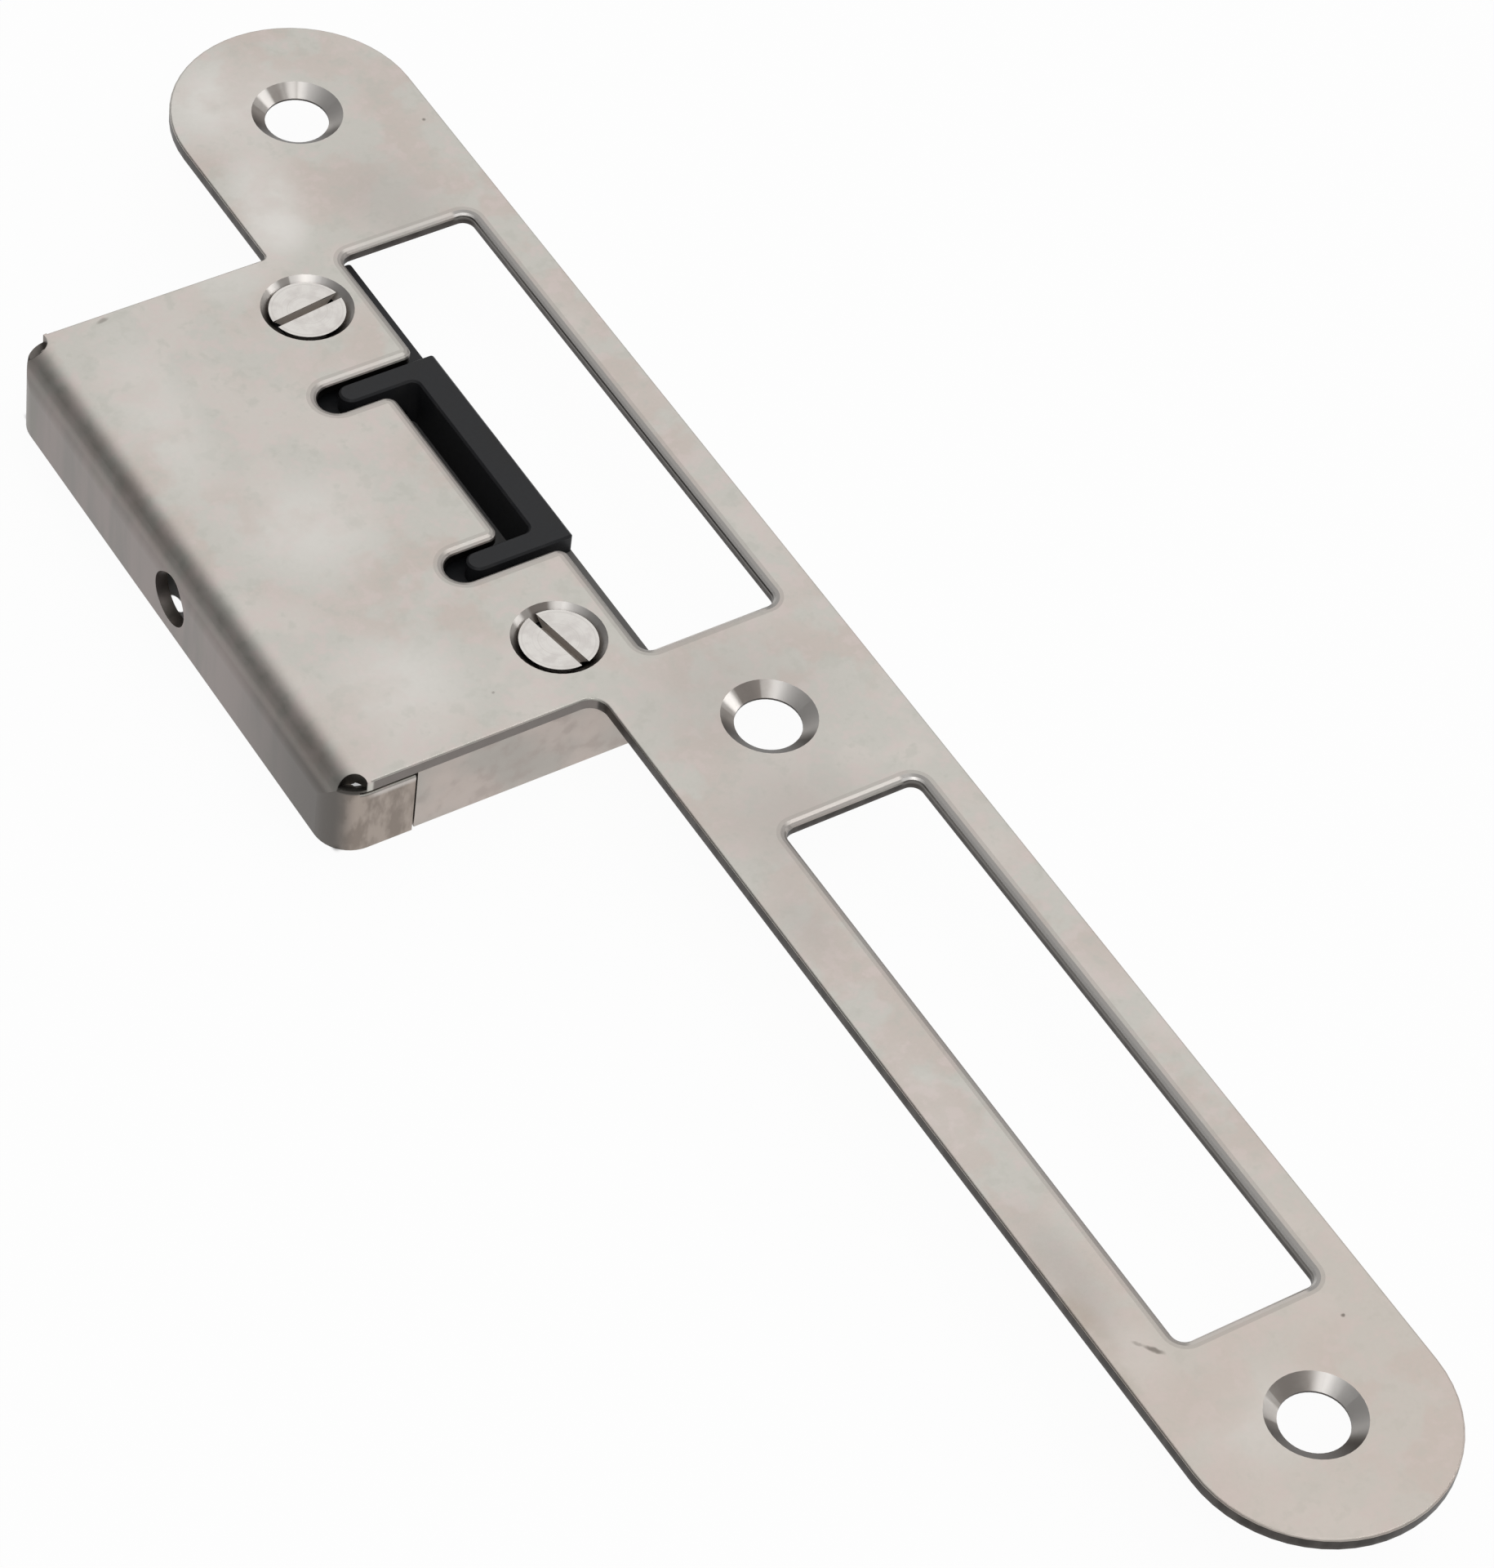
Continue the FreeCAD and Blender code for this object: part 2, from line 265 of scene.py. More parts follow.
# Steel of the plate
FACE_LIGHT = colour(0.60, 0.562, 0.522)
FACE_WARM = colour(0.555, 0.497, 0.455)
FACE_COOL = colour(0.560, 0.542, 0.500)
FACE_LOW_END = colour(0.565, 0.485, 0.43)
PINK_FLECK = colour(0.635, 0.552, 0.525)
GREEN_FLECK = colour(0.490, 0.482, 0.437)
PATCH_LIGHT = colour(0.70, 0.675, 0.64)
PATCH_DULL = colour(0.45, 0.415, 0.385)
STAIN_BROWN = colour(0.42, 0.35, 0.29)
MARK_DARK = colour(0.16, 0.14, 0.12)
# Flange and tabs: the face's steel painted darker as painted shade, most towards the flange's
# lower end, with random streaks and grime
FLANGE_SHADE_GREY = colour(0.243, 0.225, 0.213)
FLANGE_SHADE_WARM = colour(0.285, 0.25, 0.238)
FLANGE_SHADE_GREEN = colour(0.245, 0.238, 0.212)
FLANGE_LOW_SHADE = colour(0.128, 0.118, 0.109)
TAB_SHADE_TONE = colour(0.385, 0.33, 0.29)
TAB_GRIMY = colour(0.26, 0.22, 0.19)
# Painted highlight along the tabs' top rim
TAB_RIM_HIGHLIGHT = colour(0.60, 0.56, 0.53)
# Sheared walls: a torn finish, painted far darker than the steel as painted shade
WALL_SHADE_DARK = colour(0.042, 0.037, 0.034)
WALL_TORN_SHADE = colour(0.075, 0.068, 0.063)
WALL_FOOT = colour(0.09, 0.082, 0.077)
WALL_LIP = colour(0.198, 0.178, 0.166)
# Painted shade inside the notches at the corners of the bend
NOTCH_SHADE = colour(0.05, 0.045, 0.04)
# Rolled edges: a line of painted shade where the roll starts, a painted highlight on its crest,
# and painted shade where it faces right
ROLL_START_SHADE = colour(0.36, 0.335, 0.31)
ROLL_CREST_HIGHLIGHT = colour(0.57, 0.54, 0.51)
ROLL_SHADED = colour(0.30, 0.28, 0.265)
# Right rail's rolls: painted shade, a painted highlight on the steeper part, and a darker wall of
# painted shade
RAIL_SHADE_GREY = colour(0.34, 0.325, 0.31)
RAIL_STEEP_HIGHLIGHT = colour(0.86, 0.83, 0.80)
RAIL_WALL_SHADE = colour(0.17, 0.16, 0.15)
# Countersinks: a grey with random mottle, painted highlights and painted shade on their facets,
# painted light on their right sides, and painted shade towards the lip's lower corner
SINK_GREY = colour(0.52, 0.49, 0.46)
SINK_GLINT = colour(0.92, 0.88, 0.84)
SINK_PAINTED_LIGHT = colour(0.82, 0.79, 0.76)
SINK_MOTTLE_AND_SHADE = colour(0.22, 0.19, 0.17)
SINK_LOW_SHADE = colour(0.07, 0.06, 0.052)

# Noises of the plate: scale, detail and roughness
CLOUD_NOISE = (55.0, 2.0, 0.5)
DRIFT_NOISE = (190.0, 3.0, 0.5)
MOTTLE_NOISE = (520.0, 3.0, 0.6)
GRAIN_NOISE = (2600.0, 3.0, 0.6)
SWELL_NOISE = (160.0, 2.0, 0.5)
BRUSHED_NOISE = ((5200.0, 260.0, 1000.0), 2.0, 0.5)
STREAK_NOISE = ((420.0, 420.0, 60.0), 3.0, 0.5)
GRIME_NOISE = ((620.0, 620.0, 260.0), 3.0, 0.6)
TEAR_NOISE = ((700.0, 700.0, 150.0), 2.0, 0.5)

# Where those noises turn from one tint to the other
CLOUD_BREAKS = (0.3, 0.6)
CLOUD_BROKEN_SHARE = 0.4
STAIN_BREAKS = (0.4, 0.65)
GRIME_BREAKS = (0.4, 0.65)
MOTTLE_BREAKS = (0.35, 0.65)

# Roughness: the range that the grain draws, and then what lies over it
GRAIN_ROUGH = (0.32, 0.46)
MOTTLE_ROUGH = 0.5
FLANGE_ROUGH = 0.42
SINK_ROUGH = 0.40
CREST_ROUGH = 0.34
# Bumps: distance and strength
SWELL_BUMP = (0.05, 0.25)
BRUSHED_BUMP = (0.004, 0.3)
GRAIN_BUMP = (0.006, 0.4)

# How strongly a colour lies over the steel where its mask is full
MOTTLE_ROUGH_SHARE = 0.3
MOTTLE_SINK_SHARE = 0.25
TAB_RIM_HIGHLIGHT_SHARE = 0.8
NOTCH_SHADE_SHARE = 0.8
SINK_PAINTED_LIGHT_SHARE = 0.8
SINK_LOW_SHADE_SHARE = 0.95
ROLL_START_SHADE_SHARE = 0.40
ROLL_CREST_HIGHLIGHT_SHARE = 0.5
ROLL_SHADED_SHARE = 0.8

# Limits between which a mask of the plate fades, along X, Y and Z
BEND_START_X = (BEND_X - 1.2, BEND_X)
BEND_END_X = (BEND_X + 0.1, BEND_X + 0.4)
TAB_SIDE_X = (-38.8, -37.0)
TAB_RIM_X = (-36.5, -35.0)
RIGHT_RAIL_X = (6.5, 7.0)
LOW_END_Y = (-80.0, -50.0)
LIP_LOW_EDGE_Y = (9.0, 9.6)
FLANGE_LOW_Y = (10.0, 32.0)
NOTCH_TOP_Z = (-0.04, -0.02)
NOTCH_FOOT_Z = (-1.5, -1.3)
ROLL_Z = (-0.6, -0.5)
RAIL_WALL_Z = (-0.9, -0.4)
WALL_FOOT_Z = (-1.2, -0.75)
SHEET_BACK_Z = (-1.38, -1.32)
TAB_TOP_Z = (-1.6, -1.4)
TAB_RIM_Z = (-2.5, -2.0)
# The same for the level of the surface
BESIDE = (0.3, 0.8)
UPRIGHT = (0.25, 0.45)
SINK_LEVELS = ((0.35, 0.5), (0.93, 0.97))
START_LEVELS = ((0.965, 0.98), (0.998, 0.9998))
CREST_LEVELS = ((0.5, 0.7), (0.955, 0.975))
SHADED_LEVEL = (0.95, 0.985)
RAIL_LEVEL = (0.97, 0.9995)
RAIL_STEEP_LEVEL = (0.80, 0.96)
RAIL_WALL_LEVEL = (0.38, 0.58)
# The same for the part of the normal along X, and along Y
LEANS_RIGHT = (0.05, 0.15)
LEANS_LEFT = (-0.45, -0.25)
FACES_DOWN = (-0.75, -0.45)
# The same for the distance from the middle of a sink, and of a relief
SINK_EDGE = (SINK_RADIUS + 0.02, SINK_RADIUS + 0.12)
RELIEF_EDGE = (RELIEF_RADIUS - 0.05, RELIEF_RADIUS + 0.1)

# Facets that the cutter left in the countersinks, with painted highlights and painted shade as
# their
# tones: centre, and for each facet its direction, its half angle in degrees and its tone from -1
# to 1, above 0 a painted highlight and below 0 painted shade
SINK_FACET_GLINTS_AND_SHADES = (
    (
        (0.0, 87.5),
        ((114, 9, 1.0), (95, 9, -0.45), (70, 6, 0.7), (53, 7, 0.9), (172, 34, -0.5)),
    ),
    (
        (0.0, -1.0),
        ((120, 9, 1.0), (88, 18, -0.75), (56, 8, -0.2), (-78, 15, -0.5), (172, 34, -0.4)),
    ),
    (
        (0.0, -87.5),
        ((141, 14, 0.5), (81, 37, -0.6), (31, 11, 1.0), (-75, 20, -0.2), (178, 22, -0.4)),
    ),
    (
        SCREWS[0],
        ((111, 9, 1.0), (64, 21, 1.0), (90, 5, -0.4), (-12, 48, -0.95)),
    ),
    (
        SCREWS[1],
        ((121, 8, 1.0), (86, 13, -0.8), (63, 6, 0.6), (49, 7, 1.0), (33, 9, 0.3), (-22, 42, -0.9)),
    ),
)
# How far the border of a facet fades, as a cosine
FACET_FADE = 0.01
# Where painted shade lies in the countersinks: the side towards the lip's lower corner
SINK_LOW_SHADE_TOWARDS = (-0.6, -0.8)
SINK_LOW_SHADE_FADE = (0.0, 0.6)

# Lighter clouds on the face: centre, half sizes, turn in degrees, strength
LIGHT_CLOUDS = (
    ((-8.6, 77.5), (5.2, 10.5), -16.0, 0.90),
    ((-9.6, 74.0), (3.8, 4.8), -16.0, 0.90),
    ((-6.0, 92.0), (10.0, 9.0), 0.0, 0.85),
    ((-17.0, 70.0), (7.0, 5.0), 0.0, 0.40),
    ((-31.5, 56.0), (5.5, 17.0), -8.0, 0.50),
    ((-26.0, 38.0), (10.0, 10.0), 20.0, 0.65),
    ((-28.0, 17.0), (9.0, 9.0), 0.0, 0.65),
    ((-9.5, -75.0), (2.5, 5.0), 0.0, 0.25),
    ((-11.0, -45.0), (3.5, 12.0), 0.0, 0.30),
    ((-4.0, -86.0), (9.0, 7.0), 0.0, 0.35),
)
# Duller zones of the face, told in the same way
DULL_CLOUDS = (
    ((2.0, 72.0), (8.0, 11.0), 0.0, 0.50),
    ((-2.0, 3.0), (14.0, 12.0), 0.0, 0.40),
    ((-4.0, -12.0), (12.0, 10.0), 0.0, 0.55),
    ((-10.0, -23.0), (4.0, 8.0), 0.0, 0.40),
    ((-10.5, -66.0), (3.5, 11.0), 0.0, 0.60),
)
# Brown stain along the lower left edge, and small dark marks, told in the same way
EDGE_STAINS = (((-12.6, -70.0), (3.0, 14.0), 2.0, 0.55),)
DARK_MARKS = (
    ((-8.4, -75.7), (1.25, 0.32), -56.0, 0.75),
    ((-9.3, -74.5), (0.7, 0.25), -50.0, 0.40),
    ((10.7, 81.3), (0.28, 0.28), 0.0, 0.70),
    ((7.9, -80.1), (0.30, 0.28), 0.0, 0.80),
    ((-30.5, 70.0), (0.9, 0.35), 10.0, 0.50),
    ((-21.0, 12.6), (0.25, 0.22), 0.0, 0.45),
    ((-3.4, -17.0), (0.22, 0.22), 0.0, 0.40),
)
# Share of a cloud, a stain and a mark that fades
CLOUD_SOFT = 0.9
STAIN_SOFT = 0.8
MARK_SOFT = 0.7
# Ragged borders of the marks: scale of the noise, and how far it shifts them
MARK_JITTER = (900.0, 0.5)


def face_colour(tree, at):
    """Mottled satin of the flat faces, with its clouds, stain and small marks. Gives the
    tint and two of its noises."""
    clouds = noise(tree, at.place, *CLOUD_NOISE)
    drift = noise(tree, at.place, *DRIFT_NOISE)
    mottle = noise(tree, at.place, *MOTTLE_NOISE)
    tint = layered(tree, FACE_WARM, (
        (clouds, (0.40, 0.62), (0.0, 1.0), FACE_LIGHT),
        (drift, (0.45, 0.58), (0.0, 1.0), FACE_COOL),
        (mottle, (0.50, 0.66), (0.0, 0.55), PINK_FLECK),
        (mottle, (0.32, 0.47), (0.50, 0.0), GREEN_FLECK),
        (at.y, LOW_END_Y, (0.4, 0.0), FACE_LOW_END),
    ))
    broken = ramp(tree, drift, CLOUD_BREAKS, CLOUD_BROKEN_SHARE, 1.0)
    stained = rise(tree, drift, STAIN_BREAKS)
    ragged = jittered(tree, at.place, *MARK_JITTER)
    for marks, place, soft, through, over in (
        (DULL_CLOUDS, at.place, CLOUD_SOFT, 1.0, PATCH_DULL),
        (LIGHT_CLOUDS, at.place, CLOUD_SOFT, broken, PATCH_LIGHT),
        (EDGE_STAINS, at.place, STAIN_SOFT, stained, STAIN_BROWN),
        (DARK_MARKS, ragged, MARK_SOFT, 1.0, MARK_DARK),
    ):
        for centre, halves, turn, strength in marks:
            mark = both(tree, patch(tree, place, centre, halves, turn, soft), through)
            tint = lay(tree, tint, mark, strength, over)
    return tint, mottle, drift


def flange_colour(tree, at, drift):
    """Mask and tint of the bent flange and its tabs: duller than the face, and darker as painted
    shade, most towards the flange's lower end, with soft upright streaks, grime on the tabs and a
    painted highlight on their top rim."""
    beside = fall(tree, at.level, BESIDE)
    bent = both(tree, beside, fall(tree, at.x, BEND_START_X))
    tabs = both(tree, beside, fall(tree, at.z, TAB_TOP_Z))
    streaks = noise(tree, at.place, *STREAK_NOISE)
    tint = layered(tree, FLANGE_SHADE_GREY, (
        (streaks, (0.35, 0.65), (0.0, 1.0), FLANGE_SHADE_WARM),
        (drift, (0.5, 0.7), (0.0, 0.6), FLANGE_SHADE_GREEN),
        (at.y, FLANGE_LOW_Y, (0.95, 0.0), FLANGE_LOW_SHADE),
    ))
    grime = noise(tree, at.place, *GRIME_NOISE)
    tab_shaded_tint = mix(tree, rise(tree, grime, GRIME_BREAKS), TAB_SHADE_TONE, TAB_GRIMY)
    tint = mix(tree, both(tree, tabs, rise(tree, at.x, TAB_SIDE_X)), tint, tab_shaded_tint)
    # Painted highlight along the tabs' top rim
    rim_highlight = both(tree, tabs, rise(tree, at.z, TAB_RIM_Z), rise(tree, at.x, TAB_RIM_X))
    return calc(tree, "MAXIMUM", bent, tabs), lay(tree, tint, rim_highlight, TAB_RIM_HIGHLIGHT_SHARE, TAB_RIM_HIGHLIGHT)


def wall_colour(tree, at, right_rail):
    """Mask and tint of the sheared walls of the sheet: a torn finish, painted far darker as
    painted shade, lighter at the foot and under the lip's lower edge, with less painted shade on
    the upper part of the right rail's walls.
    """
    above_back = rise(tree, at.z, SHEET_BACK_Z)
    sheared = both(tree, fall(tree, at.level, UPRIGHT), above_back, rise(tree, at.x, BEND_END_X))
    tint = layered(tree, WALL_SHADE_DARK, (
        (noise(tree, at.place, *TEAR_NOISE), (0.35, 0.7), (0.0, 1.0), WALL_TORN_SHADE),
        (at.z, WALL_FOOT_Z, (0.7, 0.0), WALL_FOOT),
    ))
    # Less painted shade on the upper part of the right rail's walls
    rail_top = both(tree, right_rail, rise(tree, at.z, RAIL_WALL_Z))
    tint = mix(tree, rail_top, tint, RAIL_WALL_SHADE)
    under_lip = both(
        tree,
        within(tree, at.x, BEND_X, STRIP_EDGE_X - 0.5),
        fall(tree, at.y, LIP_LOW_EDGE_Y),
        fall(tree, at.normal[1], FACES_DOWN),
    )
    return sheared, mix(tree, under_lip, tint, WALL_LIP)


def notches(tree, at):
    """Mask of the pierced notches at the corners of the bend, which painted shade darkens."""
    hollows = [fall(tree, ring_distance(tree, at, centre)[0], RELIEF_EDGE) for centre in RELIEFS]
    below_face = fall(tree, at.z, NOTCH_TOP_Z)
    return both(tree, highest(tree, hollows), below_face, rise(tree, at.z, NOTCH_FOOT_Z))


def bearing(tree, offset, towards):
    """Cosine between an offset, given as its length and two parts, and a level direction."""
    reach, dx, dy = offset
    share_x = calc(tree, "MULTIPLY", dx, towards[0])
    share_y = calc(tree, "MULTIPLY", dy, towards[1])
    return calc(tree, "DIVIDE", calc(tree, "ADD", share_x, share_y), reach)


def sinks(tree, at):
    """Masks of the countersunk cones, of the painted highlights and painted shade on their facets,
    and of painted shade on the side towards the lip's lower corner.
    """
    low, high = SINK_LEVELS
    slanted = both(tree, rise(tree, at.level, low), fall(tree, at.level, high))
    masks, facet_glints, facet_shades, low_shades = [], [], [], []
    for centre, glints_and_shades in SINK_FACET_GLINTS_AND_SHADES:
        offset = ring_distance(tree, at, centre)
        near = both(tree, fall(tree, offset[0], SINK_EDGE), slanted)
        masks.append(near)
        for direction, half, tone in glints_and_shades:
            turn = math.radians(direction)
            facing = bearing(tree, offset, (math.cos(turn), math.sin(turn)))
            edge = math.cos(math.radians(half))
            limits = (edge - FACET_FADE, edge + FACET_FADE)
            glint_or_shade = both(tree, near, rise(tree, facing, limits, abs(tone)))
            (facet_glints if tone > 0.0 else facet_shades).append(glint_or_shade)
        facing = bearing(tree, offset, SINK_LOW_SHADE_TOWARDS)
        low_shades.append(both(tree, near, rise(tree, facing, SINK_LOW_SHADE_FADE)))
    return [highest(tree, found) for found in (masks, facet_glints, facet_shades, low_shades)]


def sink_colour(tree, at, mottle):
    """Mask and tint of the polished countersinks: a mottled grey with painted highlights and
    painted shade on their facets, painted light on their right sides, and painted shade towards
    the lip's lower corner.
    """
    sink, facet_glint, facet_shade, low_shade = sinks(tree, at)
    tint = mix(tree, rise(tree, mottle, MOTTLE_BREAKS, MOTTLE_SINK_SHARE), SINK_GREY, SINK_MOTTLE_AND_SHADE)
    tint = mix(tree, facet_shade, tint, SINK_MOTTLE_AND_SHADE)
    tint = mix(tree, facet_glint, tint, SINK_GLINT)
    # Painted light on the right side of each cone, where its normal leans left, and painted shade
    # towards the lip's lower corner
    tint = mix(tree, fall(tree, at.normal[0], LEANS_LEFT, SINK_PAINTED_LIGHT_SHARE), tint, SINK_PAINTED_LIGHT)
    return sink, lay(tree, tint, low_shade, SINK_LOW_SHADE_SHARE, SINK_LOW_SHADE)


def rolled_edges(tree, at, tint, sink, right_rail):
    """Lays the rolled edges of the openings over a tint: a line of painted shade where the roll
    starts, a painted highlight on the crest, painted shade on rolls where they face right, and on
    the right rail's rolls painted shade, a painted highlight and a darker wall. Gives the crest
    too."""
    openings = []
    for along_x, along_y in (LATCH_EDGE, BOLT_EDGE):
        openings.append(both(tree, within(tree, at.x, *along_x), within(tree, at.y, *along_y)))
    outside_sinks = fall(tree, sink, (0.0, 0.1))
    roll = both(tree, highest(tree, openings), rise(tree, at.z, ROLL_Z), outside_sinks)
    low, high = START_LEVELS
    start = both(tree, roll, fall(tree, at.level, high), rise(tree, at.level, low))
    low, high = CREST_LEVELS
    crest = both(tree, roll, fall(tree, at.level, high), rise(tree, at.level, low))
    crest = both(tree, crest, fall(tree, at.normal[0], LEANS_RIGHT))
    leaning = rise(tree, at.normal[0], LEANS_RIGHT)
    shaded = both(tree, roll, fall(tree, at.level, SHADED_LEVEL), leaning)
    railing = both(tree, roll, right_rail, fall(tree, at.level, RAIL_LEVEL))
    rail_painted_tint = mix(tree, fall(tree, at.level, RAIL_STEEP_LEVEL), RAIL_SHADE_GREY, RAIL_STEEP_HIGHLIGHT)
    rail_painted_tint = mix(tree, fall(tree, at.level, RAIL_WALL_LEVEL), rail_painted_tint, RAIL_WALL_SHADE)
    # Painted shade where the roll starts, and a painted highlight on its crest
    tint = lay(tree, tint, start, ROLL_START_SHADE_SHARE, ROLL_START_SHADE)
    tint = lay(tree, tint, crest, ROLL_CREST_HIGHLIGHT_SHARE, ROLL_CREST_HIGHLIGHT)
    tint = mix(tree, railing, tint, rail_painted_tint)
    return lay(tree, tint, shaded, ROLL_SHADED_SHARE, ROLL_SHADED), crest


def plate_steel(tree, at):
    """Satin sheet, with painted shade on the flange, notches and sheared walls, and polished
    countersinks and rolled edges with painted highlights and painted shade.
    """
    tint, mottle, drift = face_colour(tree, at)
    right_rail = rise(tree, at.x, RIGHT_RAIL_X)
    flange, flange_shaded_tint = flange_colour(tree, at, drift)
    # Painted shade on the flange and its tabs, and a painted highlight on the tabs' rim
    tint = mix(tree, flange, tint, flange_shaded_tint)
    sheared, wall_shaded_tint = wall_colour(tree, at, right_rail)
    # Painted shade on the sheared walls
    tint = mix(tree, sheared, tint, wall_shaded_tint)
    # Painted shade inside the notches at the corners of the bend
    tint = lay(tree, tint, notches(tree, at), NOTCH_SHADE_SHARE, NOTCH_SHADE)
    sink, sink_tint = sink_colour(tree, at, mottle)
    tint = mix(tree, sink, tint, sink_tint)
    tint, crest = rolled_edges(tree, at, tint, sink, right_rail)

    grain = noise(tree, at.place, *GRAIN_NOISE)
    rough = mix_value(tree, grain, *GRAIN_ROUGH)
    mottled = rise(tree, mottle, MOTTLE_BREAKS, MOTTLE_ROUGH_SHARE)
    for mask, roughness in (
        (mottled, MOTTLE_ROUGH),
        (flange, FLANGE_ROUGH),
        (sink, SINK_ROUGH),
        (crest, CREST_ROUGH),
    ):
        rough = mix_value(tree, mask, rough, roughness)

    surface = bump(tree, noise(tree, at.place, *SWELL_NOISE), *SWELL_BUMP)
    surface = bump(tree, noise(tree, at.place, *BRUSHED_NOISE), *BRUSHED_BUMP, surface)
    surface = bump(tree, grain, *GRAIN_BUMP, surface)
    return principled(tree, tint, rough, surface, {"Metallic": 1.0})


BOX_WARM = colour(0.535, 0.473, 0.435)
BOX_COOL = colour(0.46, 0.43, 0.397)
BOX_SPECK = colour(0.43, 0.375, 0.345)
BOX_PATCH_NOISE = (140.0, 3.0)
BOX_FINE_NOISE = (520.0, 3.0)
BOX_GRIT_NOISE = (2200.0, 2.0)
BOX_ROUGH = (0.42, 0.58)
BOX_FINE_BUMP = (0.03, 0.4)
BOX_GRIT_BUMP = (0.01, 0.5)


def box_metal(tree, at):
    """Dull grey cast metal."""
    patches = noise(tree, at.place, *BOX_PATCH_NOISE)
    fine = noise(tree, at.place, *BOX_FINE_NOISE)
    tint = layered(tree, BOX_WARM, (
        (patches, (0.38, 0.62), (0.0, 1.0), BOX_COOL),
        (fine, (0.5, 0.7), (0.0, 0.5), BOX_SPECK),
    ))
    surface = bump(tree, fine, *BOX_FINE_BUMP)
    surface = bump(tree, noise(tree, at.place, *BOX_GRIT_NOISE), *BOX_GRIT_BUMP, surface)
    return principled(tree, tint, mix_value(tree, fine, *BOX_ROUGH), surface, {"Metallic": 1.0})


KEEPER_BLACK = colour(0.018, 0.0185, 0.0205)
KEEPER_GREY = colour(0.024, 0.0245, 0.027)
KEEPER_DUST = colour(0.036, 0.035, 0.034)
KEEPER_RECESS = colour(0.12, 0.118, 0.117)
# Painted reflection on the keeper's sunk level faces past the lower end of its rim
KEEPER_LEDGE_REFLECTION = colour(0.13, 0.125, 0.12)
KEEPER_GRAIN_NOISE = (2600.0, 2.0)
KEEPER_DUST_NOISE = (330.0, 3.0, 0.6)
KEEPER_DUST_BREAKS = (0.45, 0.75)
KEEPER_DUST_SHARE = 0.5
KEEPER_ROUGH = (0.42, 0.6)
KEEPER_BUMP = (0.01, 0.4)
KEEPER_SPECULAR = 0.2
# Limits of the keeper's level faces that lie deeper than the sheet, inside its rim and past it
KEEPER_SUNK_Z = (-1.2, -0.8)
KEEPER_FLAT = (0.6, 0.8)
RECESS_X = (-13.2, -12.8)
LEDGE_X = (-9.5, -9.0)
LEDGE_Y = (-KEEPER_RIM_HALF - 0.1, -KEEPER_RIM_HALF + 0.1)


def keeper_plastic(tree, at):
    """Black moulded plastic with a little dust, lighter on its sunk level faces, with a painted
    reflection on those past the lower end of its rim.
    """
    grain = noise(tree, at.place, *KEEPER_GRAIN_NOISE)
    dust = rise(tree, noise(tree, at.place, *KEEPER_DUST_NOISE), KEEPER_DUST_BREAKS)
    tint = mix(tree, grain, KEEPER_BLACK, KEEPER_GREY)
    tint = lay(tree, tint, dust, KEEPER_DUST_SHARE, KEEPER_DUST)
    sunk = both(tree, fall(tree, at.z, KEEPER_SUNK_Z), rise(tree, at.level, KEEPER_FLAT))
    from_rim = calc(tree, "SUBTRACT", at.y, KEEPER_RIM_Y)
    inside_rim = within(tree, from_rim, -KEEPER_RIM_HALF, KEEPER_RIM_HALF)
    recess = both(tree, sunk, rise(tree, at.x, RECESS_X), inside_rim)
    tint = mix(tree, recess, tint, KEEPER_RECESS)
    # Painted reflection on the sunk level faces past the lower end of the rim
    ledge = both(tree, sunk, rise(tree, at.x, LEDGE_X), fall(tree, from_rim, LEDGE_Y))
    tint = mix(tree, ledge, tint, KEEPER_LEDGE_REFLECTION)
    rough = mix_value(tree, dust, *KEEPER_ROUGH)
    surface = bump(tree, grain, *KEEPER_BUMP)
    return principled(tree, tint, rough, surface, {"Specular IOR Level": KEEPER_SPECULAR})


SCREW_LIGHT = colour(0.66, 0.635, 0.605)
SCREW_GREY = colour(0.585, 0.555, 0.53)
SCREW_RING = colour(0.50, 0.475, 0.45)
SLOT_DULL = colour(0.46, 0.415, 0.375)
SLOT_Z = (-SCREW_HEAD_BELOW - 0.25, -SCREW_HEAD_BELOW - 0.02)
SLOT_SHARE = 0.95
# Metal and roughness of a screw's top, and of its slot
SCREW_METALLIC = (1.0, 0.25)
SCREW_ROUGH = (0.26, 0.55)
SCREW_CLOUD_NOISE = (700.0, 2.0)
SCREW_GRIT_NOISE = (2500.0, 2.0)
SCREW_RING_BUMP = (0.012, 0.35)
SCREW_GRIT_BUMP = (0.006, 0.4)
# Turned rings: how many noise cells there are to a millimetre
SCREW_RING_SCALE = 4.0


def screw_steel(tree, at):
    """Bright plated screws. Their tops are turned, and their drive slots are dull and dirty."""
    upper, lower = (ring_distance(tree, at, centre)[0] for centre in SCREWS)
    rings = add(
        tree,
        "ShaderNodeTexNoise",
        {"W": calc(tree, "MINIMUM", upper, lower), "Scale": SCREW_RING_SCALE, "Detail": 2.0},
        noise_dimensions="1D",
    ).outputs[0]
    tint = layered(tree, SCREW_LIGHT, (
        (noise(tree, at.place, *SCREW_CLOUD_NOISE), (0.4, 0.65), (0.0, 1.0), SCREW_GREY),
        (rings, (0.5, 0.7), (0.0, 0.35), SCREW_RING),
    ))
    below = fall(tree, at.z, SLOT_Z)
    tint = lay(tree, tint, below, SLOT_SHARE, SLOT_DULL)
    metallic = ramp(tree, below, (0.0, 1.0), *SCREW_METALLIC)
    surface = bump(tree, rings, *SCREW_RING_BUMP)
    surface = bump(tree, noise(tree, at.place, *SCREW_GRIT_NOISE), *SCREW_GRIT_BUMP, surface)
    rough = mix_value(tree, below, *SCREW_ROUGH)
    return principled(tree, tint, rough, surface, {"Metallic": metallic})


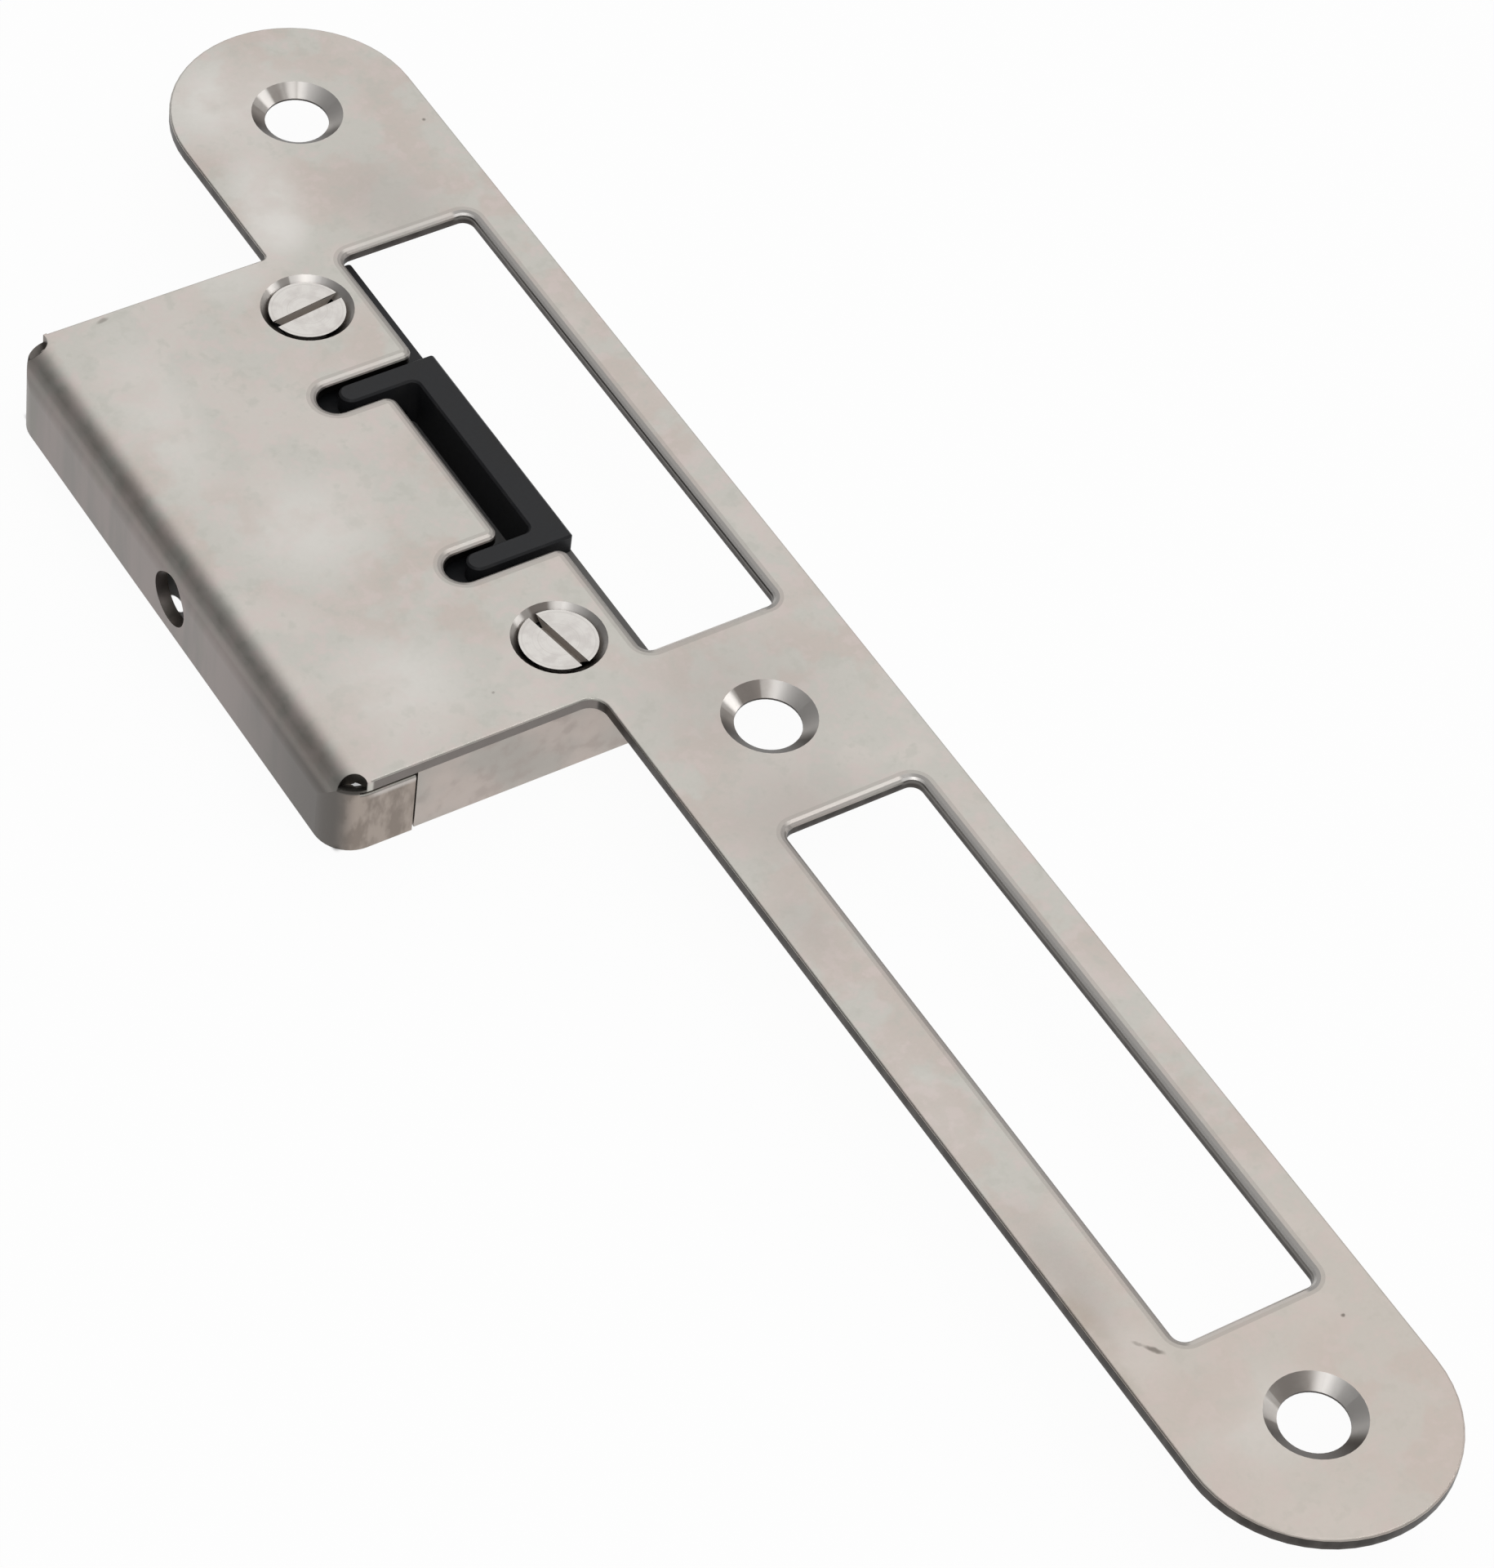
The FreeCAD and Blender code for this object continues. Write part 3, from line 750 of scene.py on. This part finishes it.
FLOOR_WHITE = colour(0.92, 0.92, 0.92)
PURE_WHITE = colour(1.0, 1.0, 1.0)
FLOOR_HALF = 1.5
# Share of the floor's own white that the camera and the metal see, past the object's shadow
FLOOR_SHARE = 0.95
# The floor under the lip: limits along X with their fade, and along Y
UNDER_LIP_X = (-38.4, -14.0, 0.6)
UNDER_LIP_Y = (9.6, 69.4, 1.0)
# Painted spots of light on that floor, seen through the flange's side hole and the lower notch:
# centre, half sizes and strength
PAINTED_LIGHT_SPOTS = (
    ((-37.2, 42.05), (0.6, 1.35), 1.0),
    ((-33.1, 15.1), (1.0, 1.0), 0.5),
)
PAINTED_LIGHT_SPOT_SOFT = 0.3


def floor_white(tree, at):
    """White floor. Under the lip it is left to the lamps, so that the notches look into shade,
    apart from painted spots of light.
    """
    path = add(tree, "ShaderNodeLightPath").outputs
    rays = [path[name] for name in ("Is Camera Ray", "Is Glossy Ray", "Is Transmission Ray")]
    covered = both(tree, within(tree, at.x, *UNDER_LIP_X), within(tree, at.y, *UNDER_LIP_Y))
    # Painted spots of light on the shaded floor under the lip
    light_spots = []
    for centre, halves, strength in PAINTED_LIGHT_SPOTS:
        spot = patch(tree, at.place, centre, halves, 0.0, PAINTED_LIGHT_SPOT_SOFT)
        light_spots.append(calc(tree, "MULTIPLY", spot, strength))
    covered = both(tree, covered, fall(tree, highest(tree, light_spots), (0.0, 1.0)))
    share = both(tree, highest(tree, rays), fall(tree, covered, (0.0, 1.0), FLOOR_SHARE))
    plain = add(tree, "ShaderNodeBsdfDiffuse", {"Color": FLOOR_WHITE})
    white = add(tree, "ShaderNodeEmission", {"Color": PURE_WHITE, "Strength": 1.0})
    made = add(tree, "ShaderNodeMixShader", {0: share, 1: plain.outputs[0], 2: white.outputs[0]})
    return made.outputs[0]


def floor():
    """Large level square that the part stands on."""
    mesh = bpy.data.meshes.new("floor")
    signs = ((-1, -1), (1, -1), (1, 1), (-1, 1))
    corners = [(x * FLOOR_HALF, y * FLOOR_HALF, floor_z) for x, y in signs]
    mesh.from_pydata(corners, [], [(0, 1, 2, 3)])
    made = bpy.data.objects.new("floor", mesh)
    mesh.materials.append(material("floor_white", floor_white))
    bpy.context.scene.collection.objects.link(made)


def camera():
    """The photo's view of the part."""
    right = Vector(CAMERA_RIGHT).normalized()
    up = Vector(CAMERA_UP).normalized()
    back = right.cross(up).normalized()
    up = back.cross(right)
    data = bpy.data.cameras.new("camera")
    data.sensor_fit = "VERTICAL"
    data.sensor_height = CAMERA_SENSOR
    data.lens = CAMERA_LENS
    data.clip_start = CAMERA_NEAREST
    made = bpy.data.objects.new("camera", data)
    turn = Matrix((right, up, back)).transposed().to_4x4()
    made.matrix_world = Matrix.Translation(CAMERA_PLACE) @ turn
    bpy.context.scene.collection.objects.link(made)
    bpy.context.scene.camera = made


def softbox(name, place, size, brightness):
    """Rectangular lamp that faces the middle of the plate, as bright as a white surface
    times brightness."""
    data = bpy.data.lights.new(name, "AREA")
    data.shape = "RECTANGLE"
    data.size, data.size_y = size
    data.energy = brightness * math.pi * size[0] * size[1]
    made = bpy.data.objects.new(name, data)
    made.location = place
    made.rotation_euler = (-Vector(place)).to_track_quat("-Z", "Y").to_euler()
    bpy.context.scene.collection.objects.link(made)


# Where the studio is brightest: overhead, a little behind the plate
SKY_TOP = (0.30, 0.30, 0.905)
SKY_TOP_FADE = (0.35, 1.0)
SKY_LOW = colour(0.46, 0.46, 0.46)
SKY_HIGH = colour(0.78, 0.78, 0.78)
# Where it is darkest: the side that the bend of the lip mirrors
SKY_GAP = (-0.82, 0.53, 0.216)
SKY_GAP_FADE = (0.52, 0.96)
SKY_DARK = colour(0.13, 0.13, 0.13)


def world():
    """Soft grey studio that lights the part from all sides."""
    made = bpy.data.worlds.new("studio")
    made.use_nodes = True
    tree = made.node_tree
    tree.nodes.clear()
    place = add(tree, "ShaderNodeTexCoord").outputs["Generated"]
    tint = SKY_LOW
    for towards, limits, over in (
        (SKY_TOP, SKY_TOP_FADE, SKY_HIGH),
        (SKY_GAP, SKY_GAP_FADE, SKY_DARK),
    ):
        facing = add(tree, "ShaderNodeVectorMath", {0: place, 1: towards}, operation="DOT_PRODUCT")
        tint = mix(tree, rise(tree, facing.outputs["Value"], limits), tint, over)
    light = add(tree, "ShaderNodeBackground", {"Color": tint, "Strength": 1.0})
    add(tree, "ShaderNodeOutputWorld", {"Surface": light.outputs[0]})
    bpy.context.scene.world = made


def dress(node, made):
    """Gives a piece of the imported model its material."""
    mesh = frame["nodes"][node].data
    mesh.materials.clear()
    mesh.materials.append(made)


dress("strike_plate", material("plate_steel", plate_steel))
dress("backing_box", material("box_metal", box_metal))
dress("keeper", material("keeper_plastic", keeper_plastic))
dress("clamp_screws", material("screw_steel", screw_steel))
floor()
camera()
for lamp in LAMPS:
    softbox(*lamp)
world()
bpy.context.scene.view_settings.view_transform = "Standard"
